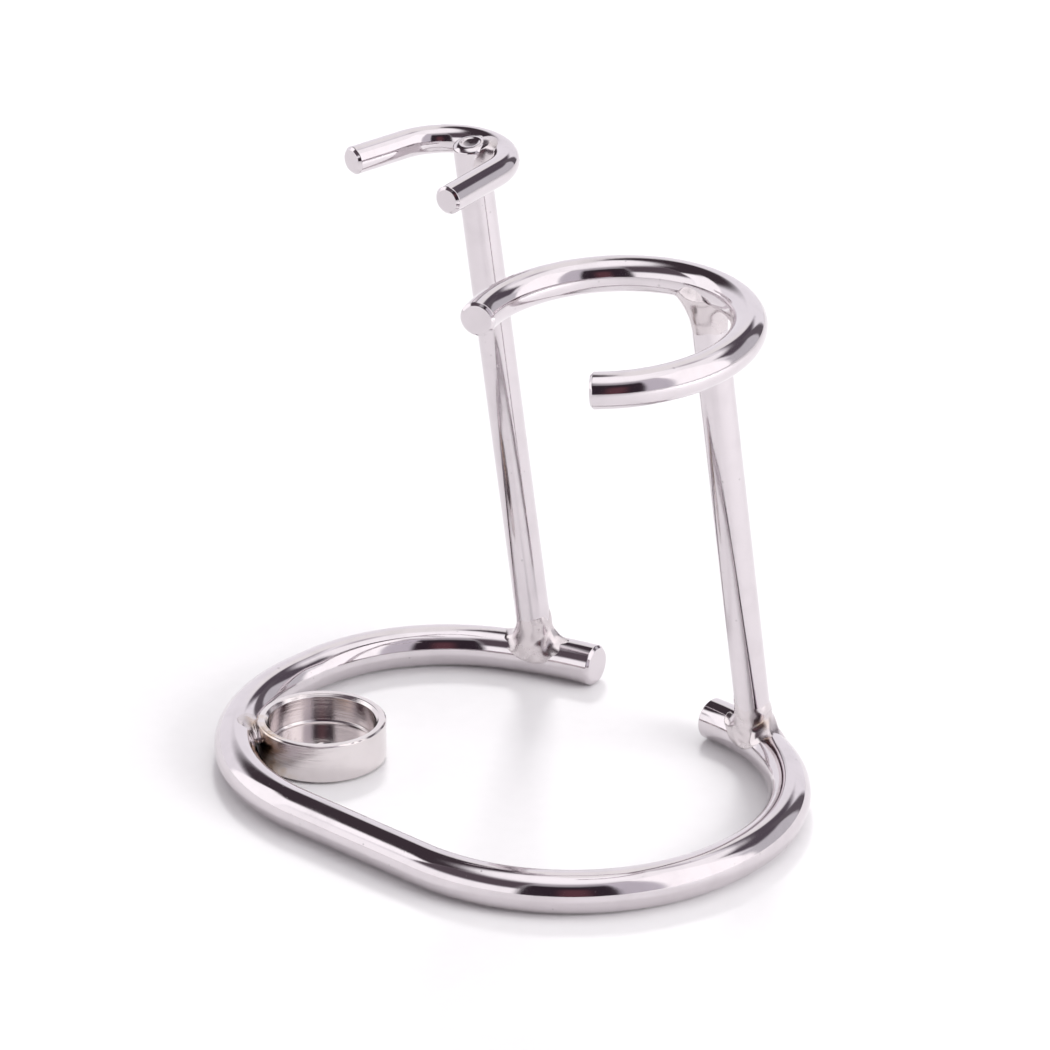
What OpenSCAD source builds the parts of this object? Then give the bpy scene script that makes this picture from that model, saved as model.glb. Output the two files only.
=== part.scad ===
// Stand for a safety razor and a shaving brush: bent round wire, two leaning posts and a turned cup,
// welded together and chrome plated. Millimetres, +Z up, the table is z = 0, the front is -Y.
// The origin is the middle of the base loop's footprint.

/* [Wire] */
// Diameter of the base loop's wire
base_d = 6; // [5:0.5:8]
// Diameter of both posts
post_d = 5; // [4:0.5:6]
// Diameter of the brush ring's wire
ring_d = 5; // [4:0.5:6]
// Diameter of the razor fork's wire
fork_d = 4; // [3:0.5:5]
// Chamfer around every cut wire end
end_chamfer = 0.4; // [0.2:0.1:0.6]

/* [Base loop] */
// Straight run across the front
front_run = 24; // [16:1:36]
// Bend radius of the lobes, at the wire's centre
lobe_r = 30; // [24:1:36]
// Straight run at the side of the right lobe
right_side_run = 1; // [0.5:0.5:6]
// Straight end behind the right lobe
right_end_run = 1; // [0.5:0.5:4]
// Straight run at the side of the left lobe
left_side_run = 3; // [1:0.5:8]
// Bend radius at the back of the left lobe
left_back_r = 27; // [22:1:33]
// Bend angle at the back of the left lobe
left_back_bend = 62; // [52:1:70]
// Radius of the flatter end of the left lobe
left_end_r = 60; // [40:1:80]
// Bend angle of the flatter end of the left lobe
left_end_bend = 15; // [12:1:20]

/* [Posts] */
// Distance of the razor post's foot from its wire end, along the wire
razor_inset = 9.2; // [7:0.1:12]
// Distance of the brush post's foot from its wire end, along the wire
brush_inset = 9.6; // [7:0.1:12]
// Forward lean of both posts, in degrees
lean = 10; // [6:0.5:14]
// Lean of both posts towards the brush's side, in degrees
side_lean = 0.6; // [0:0.1:2]
// Rise of the fork and the ring towards the brush's side, in degrees
side_tilt = 1.4; // [0:0.1:3]
// Depth that the fork's wire is let into the side of the razor post
fork_seat = 0.6; // [0.3:0.1:1]
// Depth that the ring's wire is let into the end of the brush post
ring_seat = 0.8; // [0.4:0.1:1.2]
// Height of the razor post's end above the top of the fork's wire
post_proud = 0.1; // [0.1:0.1:1]

/* [Razor fork] */
// Height of the fork's wire centre at its bend
fork_height = 85.5; // [70:0.5:110]
// Bend radius, at the wire's centre
fork_r = 8.9; // [8:0.1:12]
// Angle that each prong splays outwards
fork_splay = 8.8; // [0:0.2:14]
// Length of the outer prong
outer_prong = 8.6; // [6:0.2:14]
// Length of the inner prong
inner_prong = 11.2; // [6:0.2:14]
// Sideways place of the fork's middle from the razor post
fork_offset = -1.2; // [-1.6:0.1:1.6]
// Downward tilt of the prongs, in degrees
fork_dip = 1.5; // [0:0.5:3]

/* [Brush ring] */
// Height of the ring's wire centre at the brush post
ring_height = 77.4; // [60:0.2:100]
// Radius of the ring, at the wire's centre
ring_r = 18.8; // [15:0.2:24]
// Angle left open between the ring's ends
ring_gap = 102; // [80:1:130]
// Turn of the opening away from straight ahead, towards the fork
ring_turn = 15; // [0:1:25]
// Sideways place of the ring's middle from the brush post
ring_offset = -0.5; // [-1.5:0.1:1.5]
// Downward tilt of the ring's opening, in degrees
ring_dip = 3.5; // [0:0.5:5]

/* [Handle cup] */
// Outside diameter of the cup
cup_d = 18.3; // [16:0.1:24]
// Diameter of the bore that takes the razor's handle
bore_d = 15.4; // [12:0.1:20]
// Height of the cup
cup_h = 5.8; // [5:0.1:9]
// Thickness of the cup's floor
cup_floor = 1.5; // [1:0.1:3]
// Chamfer inside the cup's rim
lip = 0.45; // [0.2:0.05:0.6]
// Height that the cup is held above the table
cup_lift = 0.3; // [0:0.1:0.5]
// Direction of the cup's weld, seen from the middle of the left lobe
cup_angle = 221; // [205:1:235]
// Gap between the cup and the base loop's wire
cup_gap = 0.15; // [0.1:0.05:0.4]
// Radius of the turned centre mark in the cup's floor
mark_r = 0.7; // [0.4:0.1:1]
// Depth of the centre mark
mark_depth = 0.3; // [0.2:0.1:0.5]

/* [Welds] */
// How far a foot weld's bead stands out from the post
foot_bead = 1.5; // [1:0.1:2]
// How far the ring weld's bead stands out from the post
ring_bead = 1.2; // [0.8:0.1:1.8]
// Radius of the fork weld's bead
fork_bead_r = 3.3; // [2.8:0.1:3.6]
// Radius of the cup weld's bead
cup_bead_r = 2.4; // [2:0.1:3]

/* [Hidden] */
$fn = 64;

wire_colour = [0.80, 0.79, 0.82];
cup_colour = [0.76, 0.75, 0.77];
weld_colour = [0.70, 0.67, 0.64];

// Pieces of one wire meet over a groove this wide and deep, closed by a plug inside them.
seam = 0.02;
plug_half = 0.3;

// A bent wire is a list of [length, 0] straights and [radius, angle] bends to the left.
// A pose is [x, y, heading] on the wire's centre line, and move() carries one along one piece.
function piece_len(p) = p[1] == 0 ? p[0] : p[0] * p[1] * PI / 180;
function move(at, p, s) =
    p[1] == 0
        ? [at[0] + s * cos(at[2]), at[1] + s * sin(at[2]), at[2]]
        : let (turn = s / p[0] * 180 / PI, to = at[2] + turn)
          [at[0] + p[0] * (sin(to) - sin(at[2])), at[1] - p[0] * (cos(to) - cos(at[2])), to];
function pose_at(path, at, s, i = 0) =
    let (long = piece_len(path[i]))
    s <= long || i == len(path) - 1
        ? move(at, path[i], s)
        : pose_at(path, move(at, path[i], long), s - long, i + 1);
function wire_len(path, i = 0) = i == len(path) ? 0 : piece_len(path[i]) + wire_len(path, i + 1);
function reversed(path) = [for (i = [len(path) - 1:-1:0]) path[i]];

// Each half of the base loop is listed from the middle of the front run.
right_half = [[front_run / 2, 0], [lobe_r, 90], [right_side_run, 0], [lobe_r, 90], [right_end_run, 0]];
left_half = [
    [front_run / 2, 0], [lobe_r, 90], [left_side_run, 0],
    [left_back_r, left_back_bend], [left_end_r, left_end_bend]
];
left_len = wire_len(left_half);
left_end = pose_at(left_half, [0, 0, 0], left_len);
front_y = -left_end[1] / 2;

// The base loop as one wire, from its left end round the front to its right end.
loop_path = concat(
    reversed([for (i = [1:len(left_half) - 1]) left_half[i]]),
    [[front_run, 0]],
    [for (i = [1:len(right_half) - 1]) right_half[i]]
);
loop_start = [-left_end[0], front_y + left_end[1], 360 - left_end[2]];
loop_len = wire_len(loop_path);

// Feet of the posts on the base wire's centre line.
razor_at = pose_at(loop_path, loop_start, razor_inset);
brush_at = pose_at(loop_path, loop_start, loop_len - brush_inset);
razor_foot = [razor_at[0], razor_at[1], base_d / 2];
brush_foot = [brush_at[0], brush_at[1], base_d / 2];
up = [sin(side_lean) * cos(lean), -sin(lean), cos(side_lean) * cos(lean)];

// A post's axis at a height, from its foot.
function axis_at(foot, z) = foot + up * (z - foot[2]) / up[2];

razor_top_z = fork_height + fork_d / 2 + post_proud;
razor_len = (razor_top_z - base_d / 2) / up[2];
brush_top_z = ring_height - ring_d / 2 + ring_seat;
brush_top = axis_at(brush_foot, brush_top_z);
brush_len = (brush_top_z - base_d / 2) / up[2];

// The fork's bend lies around the razor post, let into it by fork_seat.
fork_reach = fork_r - (fork_d + post_d) / 2 + fork_seat;
fork_back = sqrt(fork_reach * fork_reach - fork_offset * fork_offset);
fork_at = axis_at(razor_foot, fork_height) + [fork_offset, -fork_back, 0];
fork_bend = 180 - 2 * fork_splay;
fork_path = [[inner_prong, 0], [fork_r, fork_bend], [outer_prong, 0]];
fork_start = [
    fork_r * cos(fork_splay) + inner_prong * sin(fork_splay),
    fork_r * sin(fork_splay) - inner_prong * cos(fork_splay),
    90 + fork_splay
];

// The ring's back lies straight over the brush post.
ring_back = axis_at(brush_foot, ring_height);
ring_bend = 360 - ring_gap;
ring_from = 90 - ring_turn - ring_bend / 2;

lobe_middle = [-front_run / 2, front_y + lobe_r];
cup_reach = lobe_r - base_d / 2 - cup_gap - cup_d / 2;
cup_at = lobe_middle + cup_reach * [cos(cup_angle), sin(cup_angle)];
cup_contact = lobe_middle + (lobe_r - base_d / 2 - cup_gap / 2) * [cos(cup_angle), sin(cup_angle)];
cup_weld_z = base_d * 0.73;
outer_lip = lip / 2;

module place(pose) {
    translate([pose[0], pose[1], 0])
        rotate(pose[2])
            children();
}

// One straight or bend from the origin along +X, short of its end by the seam.
module piece(d, p) {
    if (p[1] == 0)
        rotate([0, 90, 0])
            cylinder(h = p[0] - seam, d = d);
    else
        translate([0, p[0], 0])
            rotate(-90)
                rotate_extrude(angle = p[1] - seam / p[0] * 180 / PI)
                    translate([p[0], 0])
                        circle(d = d);
}

// Plug inside the joint between two pieces.
module plug(d) {
    rotate([0, 90, 0])
        cylinder(h = 2 * plug_half, d = d - 2 * seam, center = true);
}

// Cut end of a wire that arrives along +X, its edge chamfered.
module wire_end(d) {
    r = d / 2 - seam;
    rotate([0, 90, 0])
        rotate_extrude()
            polygon([
                [0, -plug_half], [r, -plug_half], [r, 0],
                [r - end_chamfer, end_chamfer], [0, end_chamfer]
            ]);
}

// A bent wire from one pose to where its path leads, both ends chamfered.
module wire(d, path, at) {
    poses = [for (s = 0, i = 0; i <= len(path); s = s + (i < len(path) ? piece_len(path[i]) : 0), i = i + 1)
        pose_at(path, at, s)];
    for (i = [0:len(path) - 1])
        place(poses[i])
            piece(d, path[i]);
    if (len(path) > 1)
        for (i = [1:len(path) - 1])
            place(poses[i])
                plug(d);
    place(poses[0])
        rotate(180)
            wire_end(d);
    place(poses[len(path)])
        wire_end(d);
}

module base_wire() {
    translate([0, 0, base_d / 2])
        wire(base_d, loop_path, loop_start);
}

// The fork runs from the inner prong's end round its bend to the outer prong's end.
module fork_wire() {
    translate(fork_at)
        rotate([fork_dip, -side_tilt, 0])
            wire(fork_d, fork_path, fork_start);
}

// The ring is one bend, round its back from one side of the opening to the other.
module ring_wire() {
    translate(ring_back)
        rotate([ring_dip, -side_tilt, 0])
            translate([ring_offset, -sqrt(ring_r * ring_r - ring_offset * ring_offset), 0])
                wire(
                    ring_d, [[ring_r, ring_bend]],
                    [ring_r * cos(ring_from), ring_r * sin(ring_from), ring_from + 90]
                );
}

module post_rod(foot, h) {
    translate(foot)
        rotate([lean, side_lean, 0])
            cylinder(h = h, d = post_d);
}

module cup_body() {
    translate([cup_at[0], cup_at[1], cup_lift])
        cylinder(h = cup_h, d = cup_d);
}

module base_loop() {
    color(wire_colour)
        base_wire();
}

// The razor post stands in a saddle on the base wire, notched for the fork, its end chamfered.
module razor_post() {
    color(wire_colour)
        difference() {
            translate(razor_foot)
                rotate([lean, side_lean, 0])
                    rotate_extrude()
                        polygon([
                            [0, 0], [post_d / 2, 0], [post_d / 2, razor_len - end_chamfer],
                            [post_d / 2 - end_chamfer, razor_len], [0, razor_len]
                        ]);
            base_wire();
            fork_wire();
        }
}

// The brush post stands in a saddle on the base wire and carries the ring in a saddle at its end.
module brush_post() {
    color(wire_colour)
        difference() {
            post_rod(brush_foot, brush_len);
            base_wire();
            ring_wire();
        }
}

module razor_fork() {
    color(wire_colour)
        fork_wire();
}

module brush_ring() {
    color(wire_colour)
        ring_wire();
}

// Turned cup with a chamfered rim and a small centre mark in its floor.
module handle_cup() {
    r = cup_d / 2;
    b = bore_d / 2;
    color(cup_colour)
        translate([cup_at[0], cup_at[1], cup_lift])
            rotate_extrude()
                polygon([
                    [0, 0], [r - outer_lip, 0], [r, outer_lip],
                    [r, cup_h - outer_lip], [r - outer_lip, cup_h],
                    [b + lip, cup_h], [b, cup_h - lip], [b, cup_floor],
                    [mark_r, cup_floor], [0, cup_floor - mark_depth]
                ]);
}

// Bead around a post's foot, lapping over the base wire.
module foot_weld(foot, h) {
    color(weld_colour)
        difference() {
            translate(axis_at(foot, base_d * 0.8))
                sphere(r = post_d / 2 + foot_bead);
            post_rod(foot, h);
            base_wire();
        }
}

module razor_foot_weld() {
    foot_weld(razor_foot, razor_len);
}

module brush_foot_weld() {
    foot_weld(brush_foot, brush_len);
}

// Bead under the bend, between the razor post and the fork.
module fork_weld() {
    middle = axis_at(razor_foot, fork_height - 1.4);
    color(weld_colour)
        difference() {
            translate(middle + [0, post_d * 0.35, 0])
                sphere(r = fork_bead_r);
            post_rod(razor_foot, razor_len);
            fork_wire();
        }
}

module ring_weld() {
    color(weld_colour)
        difference() {
            translate(brush_top)
                sphere(r = post_d / 2 + ring_bead);
            post_rod(brush_foot, brush_len);
            ring_wire();
        }
}

// Bead in the groove between the cup's wall and the top of the base wire.
module cup_weld() {
    color(weld_colour)
        difference() {
            translate([cup_contact[0], cup_contact[1], cup_weld_z])
                sphere(r = cup_bead_r);
            translate([cup_contact[0], cup_contact[1], 0])
                cylinder(h = base_d / 2 + 0.2, r = cup_bead_r + 1);
            cup_body();
            base_wire();
        }
}

base_loop();
razor_post();
brush_post();
razor_fork();
brush_ring();
handle_cup();
razor_foot_weld();
brush_foot_weld();
fork_weld();
ring_weld();
cup_weld();
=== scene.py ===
# Stand for a safety razor and a shaving brush, in chrome plated round wire.
# One unit in the dictionaries is a millimetre, and angles are in degrees.
import math
import bpy
import numpy as np
from mathutils import Matrix


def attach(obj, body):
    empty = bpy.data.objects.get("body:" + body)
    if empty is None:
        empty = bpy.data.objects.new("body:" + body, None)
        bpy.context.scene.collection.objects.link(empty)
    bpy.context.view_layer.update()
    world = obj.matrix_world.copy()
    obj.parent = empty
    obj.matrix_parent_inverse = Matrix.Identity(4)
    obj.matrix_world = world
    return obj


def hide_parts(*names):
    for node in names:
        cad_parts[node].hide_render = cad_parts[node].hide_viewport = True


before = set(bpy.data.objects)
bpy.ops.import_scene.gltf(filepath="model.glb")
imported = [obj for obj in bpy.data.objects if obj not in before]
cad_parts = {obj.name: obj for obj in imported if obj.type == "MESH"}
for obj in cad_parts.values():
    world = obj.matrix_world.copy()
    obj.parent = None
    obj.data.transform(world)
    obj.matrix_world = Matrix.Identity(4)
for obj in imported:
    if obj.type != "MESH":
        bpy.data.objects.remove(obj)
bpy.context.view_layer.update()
mm = 0.001
print("frame loaded:", ", ".join(sorted(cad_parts)))


# where a path of straight runs and arcs goes
def turnBy(angle):
    return math.cos(math.radians(angle)), math.sin(math.radians(angle))


def walkPiece(pose, piece, s):
    # a piece is (length, 0) or (radius, angle to the left); a pose is x, y, heading
    x, y, heading = pose
    if piece[1] == 0:
        c, n = turnBy(heading)
        return x + s * c, y + s * n, heading
    to = heading + math.degrees(s / piece[0])
    c0, n0 = turnBy(heading)
    c1, n1 = turnBy(to)
    return x + piece[0] * (n1 - n0), y - piece[0] * (c1 - c0), to


def pieceLength(piece):
    return piece[0] if piece[1] == 0 else piece[0] * math.radians(piece[1])


def walkPath(path, start, spacing=0.5):
    # poses along the whole path, close together all the way
    poses = [start]
    at = start
    for piece in path:
        length = pieceLength(piece)
        steps = max(2, int(length / spacing))
        poses += [walkPiece(at, piece, length * i / steps) for i in range(1, steps + 1)]
        at = poses[-1]
    return poses


def poseAlong(path, start, s):
    at = start
    for piece in path[:-1]:
        if s <= pieceLength(piece):
            return walkPiece(at, piece, s)
        at = walkPiece(at, piece, pieceLength(piece))
        s -= pieceLength(piece)
    return walkPiece(at, path[-1], s)


def tipped(points, dip, rise, origin=(0, 0, 0)):
    # plane points tipped about X by the dip, raised towards +X by the rise, then moved
    c, n = turnBy(dip)
    aboutX = np.array([[1, 0, 0], [0, c, -n], [0, n, c]])
    c, n = turnBy(-rise)
    aboutY = np.array([[c, 0, n], [0, 1, 0], [-n, 0, c]])
    return np.asarray(points) @ (aboutY @ aboutX).T + np.asarray(origin)


# helpers that make a mesh piece
def addPiece(name, verts, faces, node, material):
    mesh = bpy.data.meshes.new(name)
    mesh.from_pydata((np.asarray(verts) * mm).tolist(), [], faces)
    mesh.validate()
    mesh.shade_smooth()
    piece = bpy.data.objects.new(name, mesh)
    bpy.context.scene.collection.objects.link(piece)
    mesh.materials.append(material)
    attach(piece, "root")
    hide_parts(node)
    print(name, "made:", len(verts), "points")
    return piece


def stackRings(rings):
    # skin over a stack of rings, closed by a fan at each end
    count, sides = len(rings), len(rings[0])
    last = (count - 1) * sides
    verts = [tuple(p) for ring in rings for p in ring]
    faces = []
    for i in range(count - 1):
        for j in range(sides):
            k = (j + 1) % sides
            faces.append((i * sides + j, i * sides + k, (i + 1) * sides + k, (i + 1) * sides + j))
    startTip, endTip = len(verts), len(verts) + 1
    verts += [tuple(np.mean(rings[0], axis=0)), tuple(np.mean(rings[-1], axis=0))]
    faces += [(startTip, (j + 1) % sides, j) for j in range(sides)]
    faces += [(endTip, last + j, last + (j + 1) % sides) for j in range(sides)]
    return verts, faces


def softCorners(corners, radius, steps=4):
    # rounds each inner corner of a profile; a second point just beyond keeps the flat flat
    beyond = 1.25
    corners = [np.array(c, float) for c in corners]
    out = [corners[0]]
    for before, corner, after in zip(corners, corners[1:], corners[2:]):
        a, b = before - corner, after - corner
        la, lb = np.linalg.norm(a), np.linalg.norm(b)
        cut = min(radius, la * 0.4, lb * 0.4)
        p, q = corner + a / la * cut, corner + b / lb * cut
        out.append(corner + a / la * cut * beyond)
        for i in range(steps + 1):
            t = i / steps
            out.append((1 - t) ** 2 * p + 2 * t * (1 - t) * corner + t ** 2 * q)
        out.append(corner + b / lb * cut * beyond)
    out.append(corners[-1])
    return out


def cutEnd(radius, chamfer, softness=0.07):
    # profile of a cut wire end as (distance past the path's end, radius)
    before, centre = 0.5, radius * 0.12
    return softCorners([
        (-before, radius), (0, radius), (chamfer, radius - chamfer), (chamfer, centre)
    ], softness)[1:]


def sweepWire(centres, tangents, up, radius, startProfile, endProfile, sides=72):
    # round wire along a line of centres; up is square to the plane that the wire bends in
    rings = []
    up = np.array(up, float)

    def ringAt(centre, tangent, r):
        side = np.cross(up, tangent)
        side /= np.linalg.norm(side)
        top = np.cross(tangent, side)
        turn = np.arange(sides) * 2 * math.pi / sides
        return centre + r * (np.outer(np.cos(turn), side) + np.outer(np.sin(turn), top))

    for s, r in reversed(startProfile):
        rings.append(ringAt(centres[0] - tangents[0] * s, tangents[0], r))
    for centre, tangent in zip(centres[1:-1], tangents[1:-1]):
        rings.append(ringAt(centre, tangent, radius))
    for s, r in endProfile:
        rings.append(ringAt(centres[-1] + tangents[-1] * s, tangents[-1], r))
    return stackRings(rings)


# helpers that make a weld bead
def surfaceNet(field, low, high, step):
    # quads over the surface where field is zero, one point in each cell that it crosses
    axes = [np.arange(a, b + step, step) for a, b in zip(low, high)]
    grid = np.stack(np.meshgrid(*axes, indexing="ij"), -1)
    value = field(grid.reshape(-1, 3)).reshape(grid.shape[:3])
    cells = [n - 1 for n in value.shape]
    total = np.zeros(cells + [3])
    count = np.zeros(cells)
    crossings = []
    for axis in range(3):
        others = [k for k in range(3) if k != axis]
        first = [slice(None)] * 3
        second = [slice(None)] * 3
        first[axis], second[axis] = slice(0, -1), slice(1, None)
        a, b = value[tuple(first)], value[tuple(second)]
        crosses = (a < 0) != (b < 0)
        along = np.where(crosses, a / np.where(crosses, a - b, 1), 0)
        point = grid[tuple(first)].copy()
        point[..., axis] += along * step
        crossings.append((crosses, a < 0))
        for i in (0, 1):
            for j in (0, 1):
                pick = [slice(None)] * 3
                pick[others[0]] = slice(i, i + cells[others[0]])
                pick[others[1]] = slice(j, j + cells[others[1]])
                hit = crosses[tuple(pick)]
                total += point[tuple(pick)] * hit[..., None]
                count += hit
    active = count > 0
    index = np.full(cells, -1)
    index[active] = np.arange(active.sum())
    verts = total[active] / count[active][:, None]
    faces = []
    for axis in range(3):
        e, f = [(1, 2), (2, 0), (0, 1)][axis]
        crosses, inside = crossings[axis]
        where = np.argwhere(crosses)
        keep = (where[:, e] > 0) & (where[:, f] > 0)
        keep &= (where[:, e] < cells[e]) & (where[:, f] < cells[f])
        where = where[keep]
        flip = ~inside[tuple(where.T)]
        corners = []
        for i, j in ((1, 1), (0, 1), (0, 0), (1, 0)):
            cell = where.copy()
            cell[:, e] -= i
            cell[:, f] -= j
            corners.append(index[tuple(cell.T)])
        quads = np.stack(corners, 1)
        quads[flip] = quads[flip][:, ::-1]
        faces += quads.tolist()
    return verts, faces


def blendFields(a, b, k):
    # the nearer of two surfaces, with a fillet of about k between them
    h = np.maximum(k - np.abs(a - b), 0) / k
    return np.minimum(a, b) - h * h * k / 4


def rodField(points, start, along, radius):
    v = points - start
    s = v @ along
    return np.linalg.norm(v - s[:, None] * along, axis=1) - radius


def wireField(points, centres, radius):
    # distance to a chain of short straight runs
    best = np.full(len(points), 1e9)
    for a, b in zip(centres[:-1], centres[1:]):
        v = b - a
        t = np.clip((points - a) @ v / (v @ v), 0, 1)
        best = np.minimum(best, np.linalg.norm(points - a - t[:, None] * v, axis=1))
    return best - radius


def lumps(points, size, seed):
    # smooth uneven skin from a few waves in seeded directions, mostly between -1 and 1
    waves = 7
    draw = np.random.default_rng(seed)
    total = np.zeros(len(points))
    for i in range(waves):
        way = draw.normal(size=3)
        way *= 2 * math.pi / (size * draw.uniform(0.7, 1.6) * np.linalg.norm(way))
        total += np.sin(points @ way + draw.uniform(0, 6.28))
    return total / (waves / 2)


def nearby(centres, middle, reach):
    # the stretch of a centre line that matters to a weld, thinned out
    near = [i for i, c in enumerate(centres) if np.linalg.norm(c - middle) < reach]
    return np.array(centres[max(0, near[0] - 1):near[-1] + 2:3])


def weldMesh(weld, middle, fieldOf):
    # bead that stands proud near its middle and sinks into the metal at its reach
    middle = np.array(middle, float)
    stretch = np.array(weld["stretch"])
    cutPast, gridPast, topSoftness = 0.35, 0.8, 0.8

    def field(points):
        away = np.linalg.norm((points - middle) / stretch, axis=1)
        thick = weld["proud"] * (1 - (away / weld["reach"]) ** 2)
        thick += weld["lump"] * lumps(points, weld["lumpSize"], weld["seed"])
        skin = np.maximum(fieldOf(points) - thick, away - weld["reach"] - cutPast)
        if "highest" in weld:
            skin = -blendFields(-skin, weld["highest"] - points[:, 2], topSoftness)
        return skin

    span = (weld["reach"] + gridPast) * stretch
    return surfaceNet(field, middle - span, middle + span, weld["step"])


# helpers for the plated materials
def addNode(tree, kind, links=None, **values):
    # in_Name=value sets an input, other values set the node; links maps inputs to outputs
    node = tree.nodes.new(kind)
    for key, value in values.items():
        if key.startswith("in_"):
            node.inputs[key[3:].replace("_", " ")].default_value = value
        else:
            setattr(node, key, value)
    for name, socket in (links or {}).items():
        tree.links.new(socket, node.inputs[name])
    return node


def mathNode(tree, operation, *values):
    # each value is a number or an output socket
    node = addNode(tree, "ShaderNodeMath", operation=operation)
    for i, value in enumerate(values):
        if isinstance(value, (int, float)):
            node.inputs[i].default_value = value
        else:
            tree.links.new(value, node.inputs[i])
    return node.outputs[0]


def softMask(tree, value, half, edge):
    # one up to the half width, falling to nothing over the edge width around it
    return addNode(tree, "ShaderNodeMapRange", {"Value": value}, interpolation_type="SMOOTHSTEP",
                   in_From_Min=half - edge / 2, in_From_Max=half + edge / 2,
                   in_To_Min=1.0, in_To_Max=0.0).outputs[0]


def rampNode(tree, source, stops):
    node = addNode(tree, "ShaderNodeValToRGB", {"Fac": source})
    ramp = node.color_ramp
    while len(ramp.elements) < len(stops):
        ramp.elements.new(0.5)
    for element, (place, shade) in zip(ramp.elements, stops):
        element.position = place
        element.color = (*shade, 1) if isinstance(shade, tuple) else (shade, shade, shade, 1)
    return node.outputs["Color"]


def groupSockets(group, inputs, outputs):
    for name, kind, value in inputs:
        socket = group.interface.new_socket(name, in_out="INPUT", socket_type=kind)
        if value is not None:
            socket.default_value = value
    for name, kind in outputs:
        group.interface.new_socket(name, in_out="OUTPUT", socket_type=kind)


def makePlatedSkin():
    # plate over drawn wire: slow waves, fine orange peel, pits, wiping marks and milky patches
    group = bpy.data.node_groups.new("platedSkin", "ShaderNodeTree")
    defaults = {"Wave": 0.3, "Peel": 0.2, "Pits": 0.3, "Polish": 0.06, "Haze": 0.1}
    groupSockets(
        group,
        [(name, "NodeSocketFloat", value) for name, value in defaults.items()],
        [(name, "NodeSocketFloat") for name in ("Shade", "Roughness", "Height")])
    inside = addNode(group, "NodeGroupInput").outputs
    place = addNode(group, "ShaderNodeTexCoord").outputs["Object"]

    def noise(scale, detail=2.0):
        return addNode(group, "ShaderNodeTexNoise", {"Vector": place},
                       in_Scale=scale, in_Detail=detail, in_Roughness=0.55).outputs["Fac"]

    def maths(operation, *values):
        return mathNode(group, operation, *values)

    wave = noise(190, 1.0)
    peel = noise(1500, 2.0)
    patches = noise(260, 3.0)
    pitCells = addNode(group, "ShaderNodeTexVoronoi", {"Vector": place}, in_Scale=900.0)
    pitSize = noise(420, 1.0)
    pitEdge = maths("MAXIMUM", maths("MULTIPLY", maths("SUBTRACT", pitSize, 0.55), 1.4), 0.02)
    pit = maths("SUBTRACT", 1.0, maths("DIVIDE", pitCells.outputs["Distance"], pitEdge))
    pit = maths("MAXIMUM", pit, 0.0)
    height = maths("MULTIPLY_ADD", wave, inside["Wave"], maths("MULTIPLY", peel, inside["Peel"]))
    height = maths("MULTIPLY_ADD", maths("MULTIPLY", pit, -1.0), inside["Pits"], height)
    scratch = addNode(group, "ShaderNodeMapping", {"Vector": place},
                      in_Rotation=(0.4, 0.2, 0.9), in_Scale=(2600, 240, 900))
    rub = addNode(group, "ShaderNodeTexNoise", {"Vector": scratch.outputs[0]},
                  in_Scale=1.0, in_Detail=3.0)
    milky = addNode(group, "ShaderNodeMapRange", {"Value": patches},
                    in_From_Min=0.45, in_From_Max=0.75).outputs[0]
    rough = maths("MULTIPLY_ADD", milky, inside["Haze"], inside["Polish"])
    rough = maths("MULTIPLY_ADD", maths("SUBTRACT", rub.outputs["Fac"], 0.5), 0.05, rough)
    rough = maths("MULTIPLY_ADD", pit, 0.25, rough)
    shade = maths("MULTIPLY_ADD", pit, -0.35, maths("MULTIPLY_ADD", milky, -0.06, 1.0))
    addNode(group, "NodeGroupOutput", {"Shade": shade, "Roughness": rough, "Height": height})
    return group


def makeHeatAndReflectionColour():
    # straw to brown colour of heated plate, strongest at one place and gone at its reach; on the
    # cup it also stands for a painted reflection of the tinted base wire
    group = bpy.data.node_groups.new("heatAndReflectionColour", "ShaderNodeTree")
    groupSockets(
        group,
        [("Place", "NodeSocketVector", None), ("Reach", "NodeSocketFloat", 0.003)],
        [("Tint", "NodeSocketColor"), ("Mask", "NodeSocketFloat")])
    inside = addNode(group, "NodeGroupInput").outputs
    place = addNode(group, "ShaderNodeTexCoord").outputs["Object"]
    away = addNode(group, "ShaderNodeVectorMath", operation="DISTANCE")
    group.links.new(place, away.inputs[0])
    group.links.new(inside["Place"], away.inputs[1])
    ratio = mathNode(group, "DIVIDE", away.outputs["Value"], inside["Reach"])
    drift = addNode(group, "ShaderNodeTexNoise", {"Vector": place}, in_Scale=700.0, in_Detail=3.0)
    moved = mathNode(group, "MULTIPLY_ADD", drift.outputs["Fac"], 0.8, ratio)
    tint = rampNode(group, moved, [
        (0.35, (0.40, 0.27, 0.16)), (0.6, (0.68, 0.50, 0.30)),
        (0.85, (0.90, 0.80, 0.63)), (1.0, (1, 1, 1))])
    mask = rampNode(group, moved, [(0.4, 1.0), (1.0, 0.0)])
    addNode(group, "NodeGroupOutput", {"Tint": tint, "Mask": mask})
    return group


platedSkin = makePlatedSkin()
heatAndReflectionColour = makeHeatAndReflectionColour()


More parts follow.
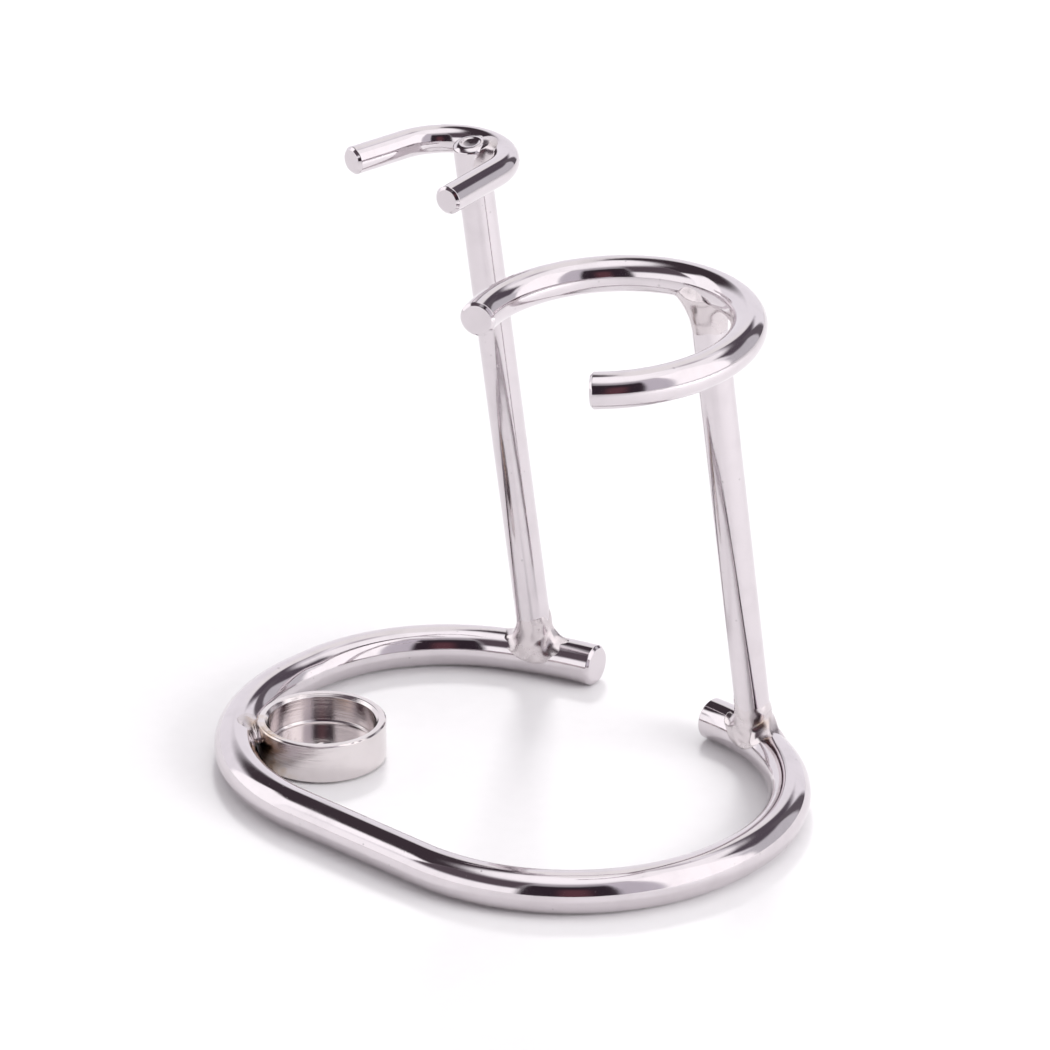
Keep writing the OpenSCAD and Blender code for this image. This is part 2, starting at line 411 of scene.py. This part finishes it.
def chromeMaterial(look):
    material = bpy.data.materials.new(look["name"])
    material.use_nodes = True
    tree = material.node_tree
    shader = tree.nodes["Principled BSDF"]
    shader.inputs["Metallic"].default_value = 1.0
    skin = addNode(tree, "ShaderNodeGroup", node_tree=platedSkin)
    for name in ("Wave", "Peel", "Pits", "Polish", "Haze"):
        skin.inputs[name].default_value = look[name.lower()]
    colour = addNode(tree, "ShaderNodeMix", data_type="RGBA", blend_type="MULTIPLY")
    colour.inputs["Factor"].default_value = 1.0
    colour.inputs["A"].default_value = (*look["plate"], 1)
    tree.links.new(skin.outputs["Shade"], colour.inputs["B"])
    result = colour.outputs["Result"]
    # each spot is heat colour near a weld; the cup's wide spot is partly heat colour and partly a
    # painted reflection of the tinted base wire
    for place, reach in look["heatAndReflectionSpots"]:
        heatAndReflectionSpots = addNode(tree, "ShaderNodeGroup", node_tree=heatAndReflectionColour)
        heatAndReflectionSpots.inputs["Place"].default_value = [v * mm for v in place]
        heatAndReflectionSpots.inputs["Reach"].default_value = reach * mm
        heatAndReflectionBlend = addNode(tree, "ShaderNodeMix",
                       {"A": result, "B": heatAndReflectionSpots.outputs["Tint"], "Factor": heatAndReflectionSpots.outputs["Mask"]},
                       data_type="RGBA", blend_type="MULTIPLY")
        result = heatAndReflectionBlend.outputs["Result"]
    tree.links.new(result, shader.inputs["Base Color"])
    tree.links.new(skin.outputs["Roughness"], shader.inputs["Roughness"])
    height = skin.outputs["Height"]
    if "turning" in look:
        height = addTurningMarks(tree, look, height)
    bump = addNode(tree, "ShaderNodeBump", {"Height": height},
                   in_Strength=1.0, in_Distance=look["depth"] * mm)
    tree.links.new(bump.outputs["Normal"], shader.inputs["Normal"])
    return material


def addTurningMarks(tree, look, height):
    # fine rings left by the lathe: by height on the walls, by radius on the floor and rim
    turning = look["turning"]
    place = addNode(tree, "ShaderNodeTexCoord").outputs["Object"]
    local = addNode(tree, "ShaderNodeVectorMath", operation="SUBTRACT")
    tree.links.new(place, local.inputs[0])
    local.inputs[1].default_value = [v * mm for v in turning["axis"]]
    split = addNode(tree, "ShaderNodeSeparateXYZ", {"Vector": local.outputs[0]})
    flat = addNode(tree, "ShaderNodeCombineXYZ", {"X": split.outputs["X"], "Y": split.outputs["Y"]})
    reach = addNode(tree, "ShaderNodeVectorMath", {0: flat.outputs[0]}, operation="LENGTH")
    across = mathNode(tree, "ADD", reach.outputs["Value"], split.outputs["Z"])
    grooves = addNode(tree, "ShaderNodeTexNoise", {"W": across}, noise_dimensions="1D",
                      in_Scale=turning["scale"], in_Detail=4.0, in_Roughness=0.7)
    return mathNode(tree, "MULTIPLY_ADD", grooves.outputs["Fac"], turning["depth"], height)


# the loop that stands on the table
base = {
    "wire": 6.0, "chamfer": 0.4,
    "frontRun": 24, "lobe": 30, "rightSide": 1, "rightEnd": 1,
    "leftSide": 3, "leftBack": (27, 62), "leftEnd": (60, 15)
}
wireLook = {
    "name": "brightWire", "plate": (0.684, 0.641, 0.663), "wave": 0.5, "peel": 0.10,
    "pits": 0.30, "polish": 0.07, "haze": 0.06, "depth": 0.02
}
weldLook = {
    "name": "platedBead", "plate": (0.665, 0.615, 0.625), "wave": 0.5, "peel": 0.25,
    "pits": 0.4, "polish": 0.18, "haze": 0.24, "depth": 0.03
}

# each half is walked from the middle of the front, the left one as a mirror image
leftHalf = [(base["frontRun"] / 2, 0), (base["lobe"], 90), (base["leftSide"], 0),
            base["leftBack"], base["leftEnd"]]
rightHalf = [(base["lobe"], 90), (base["rightSide"], 0), (base["lobe"], 90),
             (base["rightEnd"], 0)]
leftEnd = poseAlong(leftHalf, (0, 0, 0), sum(map(pieceLength, leftHalf)))
frontY = -leftEnd[1] / 2
basePath = leftHalf[:0:-1] + [(base["frontRun"], 0)] + rightHalf
baseStart = (-leftEnd[0], frontY + leftEnd[1], 360 - leftEnd[2])
baseLength = sum(map(pieceLength, basePath))


def flatWire(path, start):
    poses = walkPath(path, start)
    centres = np.array([(x, y, 0) for x, y, heading in poses])
    tangents = np.array([(*turnBy(heading), 0) for x, y, heading in poses])
    return centres, tangents


baseCentres, baseTangents = flatWire(basePath, baseStart)
baseCentres = baseCentres + np.array([0, 0, base["wire"] / 2])

# the two posts and what they carry
posts = {
    "wire": 5.0, "razorInset": 9.2, "brushInset": 9.6, "lean": 10, "sideLean": 0.6,
    "forkProud": 0.1, "ringSeat": 0.8, "endBelow": 0.05, "chamfer": 0.3
}
postRadius = posts["wire"] / 2
fork = {
    "wire": 4.0, "chamfer": 0.4, "height": 85.5, "bend": 8.9, "splay": 8.8,
    "outerProng": 8.6, "innerProng": 11.2, "offset": -1.2, "dip": 1.5, "rise": 1.4, "seat": 0.6
}
ring = {
    "wire": 5.0, "chamfer": 0.4, "height": 77.4, "bend": 18.8, "gap": 102, "turn": 15,
    "offset": -0.5, "dip": 3.5, "rise": 1.4
}

leanCos, leanSin = turnBy(posts["lean"])
sideCos, sideSin = turnBy(posts["sideLean"])
postUp = np.array([sideSin * leanCos, -leanSin, sideCos * leanCos])


def footOf(s):
    x, y, heading = poseAlong(basePath, baseStart, s)
    return np.array([x, y, base["wire"] / 2])


def axisAt(foot, z):
    return foot + postUp * (z - foot[2]) / postUp[2]


razorFoot = footOf(posts["razorInset"])
brushFoot = footOf(baseLength - posts["brushInset"])

# centre lines of the fork and the ring
forkReach = fork["bend"] - (fork["wire"] + posts["wire"]) / 2 + fork["seat"]
forkForward = math.sqrt(forkReach ** 2 - fork["offset"] ** 2)
forkAt = axisAt(razorFoot, fork["height"]) + [fork["offset"], -forkForward, 0]
splayCos, splaySin = turnBy(fork["splay"])
forkPath = [(fork["innerProng"], 0), (fork["bend"], 180 - 2 * fork["splay"]),
            (fork["outerProng"], 0)]
forkStart = (fork["bend"] * splayCos + fork["innerProng"] * splaySin,
             fork["bend"] * splaySin - fork["innerProng"] * splayCos, 90 + fork["splay"])
forkCentres, forkTangents = flatWire(forkPath, forkStart)
forkCentres = tipped(forkCentres, fork["dip"], fork["rise"], forkAt)
forkTangents = tipped(forkTangents, fork["dip"], fork["rise"])
forkUp = tipped([(0, 0, 1)], fork["dip"], fork["rise"])[0]

ringBack = axisAt(brushFoot, ring["height"])
ringFrom = 90 - ring["turn"] - (360 - ring["gap"]) / 2
ringCos, ringSin = turnBy(ringFrom)
ringStart = (ring["bend"] * ringCos, ring["bend"] * ringSin, ringFrom + 90)
ringCentres, ringTangents = flatWire([(ring["bend"], 360 - ring["gap"])], ringStart)
ringForward = math.sqrt(ring["bend"] ** 2 - ring["offset"] ** 2)
ringCentres = tipped(
    ringCentres + [ring["offset"], -ringForward, 0], ring["dip"], ring["rise"], ringBack)
ringTangents = tipped(ringTangents, ring["dip"], ring["rise"])
ringUp = tipped([(0, 0, 1)], ring["dip"], ring["rise"])[0]

# the cup for the end of the razor's handle
cup = {
    "outside": 18.3, "bore": 15.4, "height": 5.8, "floor": 1.5, "lip": 0.45, "outerLip": 0.225,
    "lift": 0.3, "angle": 221, "gap": 0.15, "markRadius": 0.7, "markDepth": 0.3, "heatAndReflectionTurn": 28
}
cupCos, cupSin = turnBy(cup["angle"])
lobeMiddle = np.array([-base["frontRun"] / 2, frontY + base["lobe"], 0])
cupWay = np.array([cupCos, cupSin, 0])
cupAt = lobeMiddle + cupWay * (base["lobe"] - base["wire"] / 2 - cup["gap"] - cup["outside"] / 2)
cupContact = lobeMiddle + cupWay * (base["lobe"] - base["wire"] / 2 - cup["gap"] / 2)
# the cup's tint spot is partly heat colour from the weld and partly a painted reflection of the
# tinted base wire on the cup's wall
cupSpotCos, cupSpotSin = turnBy(cup["angle"] + cup["heatAndReflectionTurn"])
cupHeatAndReflectionSpot = cupAt + np.array([cupSpotCos, cupSpotSin, 0]) * cup["outside"] / 2
cupLook = {
    "name": "turnedCup", "plate": (0.745, 0.70, 0.70), "wave": 0.15, "peel": 0.08, "pits": 0.10,
    "polish": 0.09, "haze": 0.05, "depth": 0.02,
    "turning": {"axis": tuple(cupAt), "scale": 2800, "depth": 1.0},
    "heatAndReflectionSpots": [((*cupHeatAndReflectionSpot[:2], 2.7), 11.0)]
}
# each spot is a place and how far its colour reaches: heat colour near the welds, and on the cup
# partly a painted reflection of the tinted base wire
footScorch = brushFoot + [2.2, -1.5, 4.4]
wireLook["heatAndReflectionSpots"] = [((*cupContact[:2], 3.4), 5.2), (tuple(footScorch), 2.2)]
weldLook["heatAndReflectionSpots"] = [
    ((*cupContact[:2], 5.2), 3.5), (tuple(footScorch - [0, 0, 0.2]), 2.6),
    ((forkAt[0] + 3.4, forkAt[1] + 5.8, 83.2), 1.6)]

brightWire = chromeMaterial(wireLook)
platedBead = chromeMaterial(weldLook)
turnedCup = chromeMaterial(cupLook)
print("chrome materials made")


def addBentWire(name, node, shape, centres, tangents, up):
    end = cutEnd(shape["wire"] / 2, shape["chamfer"])
    verts, faces = sweepWire(centres, tangents, up, shape["wire"] / 2, end, end)
    return addPiece(name, verts, faces, node, brightWire)


addBentWire("baseWire", "base_loop", base, baseCentres, baseTangents, (0, 0, 1))
addBentWire("forkWire", "razor_fork", fork, forkCentres, forkTangents, forkUp)
addBentWire("ringWire", "brush_ring", ring, ringCentres, ringTangents, ringUp)


def addPost(name, node, foot, topZ, endProfile):
    # the lower end is inside the base wire
    count, start, footChamfer, footBack = 40, 0.6, 0.2, 0.5
    centres = np.linspace(foot + postUp * start, axisAt(foot, topZ), count)
    tangents = np.tile(postUp, (count, 1))
    footProfile = [(s - footBack, r) for s, r in cutEnd(postRadius, footChamfer)]
    verts, faces = sweepWire(
        centres, tangents, (1, 0, 0), postRadius, footProfile, endProfile)
    return addPiece(name, verts, faces, node, brightWire)


# the razor post's end shows: a rounded rim around a shallow dish
dish = {"rim": 1.5, "inner": 1.15, "depth": 0.17, "edge": 0.5, "softness": 0.35}
dishedEnd = softCorners([
    (-1.4, postRadius), (-dish["edge"], postRadius), (-0.12, dish["rim"] + 0.45),
    (0, dish["rim"]), (-dish["depth"], dish["inner"]), (-dish["depth"] - 0.04, 0.2)
], dish["softness"])
razorTop = fork["height"] + fork["wire"] / 2 + posts["forkProud"]
brushTop = ring["height"] - ring["wire"] / 2 + posts["ringSeat"]
addPost("razorPost", "razor_post", razorFoot, razorTop - posts["endBelow"], dishedEnd)
addPost("brushPost", "brush_post", brushFoot, brushTop, cutEnd(postRadius, posts["chamfer"]))


def addCup():
    # profile as (radius, height), from under the floor, up the wall and in to the centre mark
    outer, inner = cup["outside"] / 2, cup["bore"] / 2
    top, floor = cup["height"], cup["floor"]
    lip, outerLip, mark = cup["lip"], cup["outerLip"], cup["markRadius"]
    profile = softCorners([
        (0.4, 0), (outer - outerLip, 0), (outer, outerLip), (outer, top - outerLip),
        (outer - outerLip, top), (inner + lip, top), (inner, top - lip),
        (inner, floor + 0.35), (inner - 0.25, floor), (mark + 0.1, floor),
        (mark - 0.1, floor - 0.06), (0.1, floor - cup["markDepth"])
    ], 0.06)
    sides = 160
    turn = np.arange(sides) * 2 * math.pi / sides
    circle = np.stack([np.cos(turn), np.sin(turn), np.zeros(sides)], 1)
    verts, faces = stackRings(
        [cupAt + [0, 0, cup["lift"]] + r * circle + [0, 0, z] for r, z in profile])
    return addPiece("handleCup", verts, faces, "handle_cup", turnedCup)


addCup()

# the beads at the five joints: how far each stands proud and reaches, the height of its
# middle, the fillet that joins the metal, the size of its lumps, and its mesh step
footWeld = {
    "proud": 0.30, "reach": 4.1, "stretch": (1.25, 1.0, 1.0), "fillet": 2.2,
    "lump": 0.12, "lumpSize": 2.3, "step": 0.14, "height": 6.6, "shift": (0, 0, 0)
}
forkWeld = {
    "proud": 0.75, "reach": 3.3, "stretch": (1.0, 1.0, 1.0), "fillet": 3.0,
    "lump": 0.08, "lumpSize": 2.6, "step": 0.12, "height": 84.6, "shift": (1.9, 1.7, 0),
    "highest": 87.85, "postBelow": 0.4
}
ringWeld = {
    "proud": 0.45, "reach": 4.3, "stretch": (1.0, 1.0, 1.0), "fillet": 3.2,
    "lump": 0.07, "lumpSize": 3.0, "step": 0.14, "height": 74.2, "shift": (0, 0, 0)
}
cupWeld = {
    "proud": 0.2, "reach": 2.6, "stretch": (1.25, 1.25, 0.8), "fillet": 1.3,
    "lump": 0.04, "lumpSize": 2.4, "step": 0.12, "height": 4.6, "seed": 21,
    "wallDepth": 1.2, "below": 0.3, "lowest": 0.5
}


def addPostWeld(name, node, weld, seed, foot, topZ, centres, wireRadius):
    middle = axisAt(foot, weld["height"]) + weld["shift"]
    near = nearby(centres, middle, weld["reach"] + 3)
    top = axisAt(foot, topZ)

    def metal(points):
        post = rodField(points, foot, postUp, postRadius)
        post = np.maximum(post, (points - top) @ postUp)
        post = np.maximum(post, (foot - points) @ postUp)
        return blendFields(post, wireField(points, near, wireRadius), weld["fillet"])

    verts, faces = weldMesh(dict(weld, seed=seed), middle, metal)
    return addPiece(name, verts, faces, node, platedBead)


addPostWeld("razorFootBead", "razor_foot_weld", footWeld, 3,
            razorFoot, razorTop, baseCentres, base["wire"] / 2)
addPostWeld("brushFootBead", "brush_foot_weld", footWeld, 8,
            brushFoot, brushTop, baseCentres, base["wire"] / 2)
addPostWeld("forkBead", "fork_weld", forkWeld, 5,
            razorFoot, razorTop - forkWeld["postBelow"], forkCentres, fork["wire"] / 2)
addPostWeld("ringBead", "ring_weld", ringWeld, 12,
            brushFoot, brushTop, ringCentres, ring["wire"] / 2)


def addCupWeld():
    middle = np.array([*cupContact[:2], cupWeld["height"]])
    near = nearby(baseCentres, np.array([*cupContact[:2], base["wire"] / 2]), 8)
    top = cup["height"] + cup["lift"] - cupWeld["below"]

    def metal(points):
        away = points - cupAt
        past = np.hypot(away[:, 0], away[:, 1]) - cup["outside"] / 2
        wall = np.maximum(past, -cupWeld["wallDepth"] - past)
        height = points[:, 2]
        wall = np.maximum(wall, np.maximum(height - top, cupWeld["lowest"] - height))
        return blendFields(wall, wireField(points, near, base["wire"] / 2), cupWeld["fillet"])

    verts, faces = weldMesh(cupWeld, middle, metal)
    return addPiece("cupBead", verts, faces, "cup_weld", platedBead)


addCupWeld()

# floor, light and camera, with lengths in metres
studio = {
    "floor": (0.90, 0.895, 0.90), "floorHalf": 1.6, "skyStrength": 1.3,
    # place, target, size and power of each soft box
    "topBox": ((0.05, 0.05, 1.3), (0, 0, 0), (1.1, 1.1), 1.0),
    "backBox": ((-0.60, 0.62, 0.86), (0, 0, 0), (0.20, 0.20), 5),
    "sideBox": ((0.46, 0.10, 0.22), (0.15, -0.02, 0), (0.3, 0.2), 1.3),
    "cameraAt": (0.57724, -0.61532, 0.42662), "lookAt": (-0.05831, 0.06476, 0), "lens": 229.1
}


def addFloor():
    half = studio["floorHalf"]
    corners = [(-half, -half, 0), (half, -half, 0), (half, half, 0), (-half, half, 0)]
    mesh = bpy.data.meshes.new("floor")
    mesh.from_pydata(corners, [], [(0, 1, 2, 3)])
    floor = bpy.data.objects.new("floor", mesh)
    bpy.context.scene.collection.objects.link(floor)
    material = bpy.data.materials.new("paleBoard")
    material.use_nodes = True
    tree = material.node_tree
    shader = tree.nodes["Principled BSDF"]
    place = addNode(tree, "ShaderNodeTexCoord").outputs["Object"]
    grain = addNode(tree, "ShaderNodeTexNoise", {"Vector": place}, in_Scale=400.0, in_Detail=4.0)
    darker = tuple(v * 0.985 for v in studio["floor"])
    shade = rampNode(tree, grain.outputs["Fac"], [(0.3, darker), (0.7, studio["floor"])])
    tree.links.new(shade, shader.inputs["Base Color"])
    shader.inputs["Roughness"].default_value = 0.7
    mesh.materials.append(material)


# soft panels and dark gaps around the studio, each laid over the ones before it:
# (low azimuth, high azimuth, low elevation, high elevation, side edge, top edge, colour),
# with azimuth from +X towards +Y
panels = [
    (138, 226, 30, 64, 6, 12, (0.046, 0.034, 0.042)),
    (224, 288, 28, 62, 7, 12, (0.092, 0.072, 0.086)),
    (189, 226, -70, 44, 5, 6, (1.12, 1.10, 1.12)),
    (226, 288, -70, 25, 6, 8, (1.02, 1.00, 1.02)),
    (112, 138, 32, 75, 7, 10, (0.85, 0.83, 0.83)),
    (40, 92, 38, 80, 8, 8, (1.00, 0.98, 1.00)),
    (54, 114, 27, 48, 8, 8, (0.088, 0.072, 0.090)),
    (44, 84, -70, 29, 6, 8, (0.52, 0.51, 0.54)),
    (84, 97, -70, 38, 4, 8, (0.110, 0.095, 0.110)),
    (326, 362, -70, 60, 26, 12, (0.52, 0.49, 0.54)),
    (288, 336, -70, 56, 5, 18, (0.030, 0.020, 0.028)),
    (308, 322, -70, 36, 9, 20, (0.100, 0.042, 0.052)),
    (358, 405, -70, 68, 5, 10, (1.15, 1.12, 1.14))
]


def addStudioWorld():
    world = bpy.data.worlds.new("studio")
    bpy.context.scene.world = world
    world.use_nodes = True
    tree = world.node_tree
    tree.nodes.clear()
    way = addNode(tree, "ShaderNodeTexCoord").outputs["Generated"]
    split = addNode(tree, "ShaderNodeSeparateXYZ", {"Vector": way})

    def maths(operation, *values):
        return mathNode(tree, operation, *values)

    def distanceFrom(value, middle):
        return maths("ABSOLUTE", maths("SUBTRACT", value, middle))

    elevation = maths("MULTIPLY", maths("ARCSINE", split.outputs["Z"]), 180 / math.pi)
    azimuth = maths("ARCTAN2", split.outputs["Y"], split.outputs["X"])
    azimuth = maths("MULTIPLY", azimuth, 180 / math.pi)
    lift = addNode(tree, "ShaderNodeMapRange", {"Value": elevation},
                   in_From_Min=0.0, in_From_Max=90.0)
    sky = rampNode(tree, lift.outputs[0], [
        (0.0, (0.80, 0.78, 0.82)), (0.60, (0.84, 0.82, 0.86)), (0.68, (0.45, 0.42, 0.45)),
        (0.76, (0.9, 0.89, 0.91)), (0.82, (1.05, 1.03, 1.05)), (1.0, (1.08, 1.06, 1.08))])
    for low, high, bottom, top, edge, topEdge, colour in panels:
        middle = (low + high) / 2
        turned = maths("WRAP", azimuth, middle + 180, middle - 180)
        side = softMask(tree, distanceFrom(turned, middle), (high - low) / 2, edge)
        raised = distanceFrom(elevation, (bottom + top) / 2)
        mask = maths("MULTIPLY", side, softMask(tree, raised, (top - bottom) / 2, topEdge))
        mix = addNode(tree, "ShaderNodeMix", {"A": sky, "Factor": mask}, data_type="RGBA")
        mix.inputs["B"].default_value = (*colour, 1)
        sky = mix.outputs["Result"]
    back = addNode(tree, "ShaderNodeBackground", {"Color": sky}, in_Strength=studio["skyStrength"])
    addNode(tree, "ShaderNodeOutputWorld", {"Surface": back.outputs[0]})


def addSoftBox(name, place, target, size, power):
    light = bpy.data.lights.new(name, "AREA")
    light.shape = "RECTANGLE"
    light.size, light.size_y = size
    light.energy = power
    lamp = bpy.data.objects.new(name, light)
    lamp.visible_glossy = False
    bpy.context.scene.collection.objects.link(lamp)
    aim(lamp, place, target)


def aim(thing, place, target):
    back = np.array(place, float) - np.array(target, float)
    back /= np.linalg.norm(back)
    right = np.cross((0, 0, 1), back)
    right /= np.linalg.norm(right)
    up = np.cross(back, right)
    columns = np.stack([right, up, back, np.array(place, float)], 1)
    thing.matrix_world = Matrix([*columns.tolist(), (0, 0, 0, 1)])


def addCamera():
    view = bpy.data.cameras.new("camera")
    view.sensor_width = 36
    view.lens = studio["lens"]
    view.clip_start = 0.05
    camera = bpy.data.objects.new("camera", view)
    bpy.context.scene.collection.objects.link(camera)
    aim(camera, studio["cameraAt"], studio["lookAt"])
    bpy.context.scene.camera = camera


addFloor()
addStudioWorld()
for boxName in ("topBox", "backBox", "sideBox"):
    addSoftBox(boxName, *studio[boxName])
bpy.context.scene.view_settings.view_transform = "Standard"
addCamera()
print("studio made")
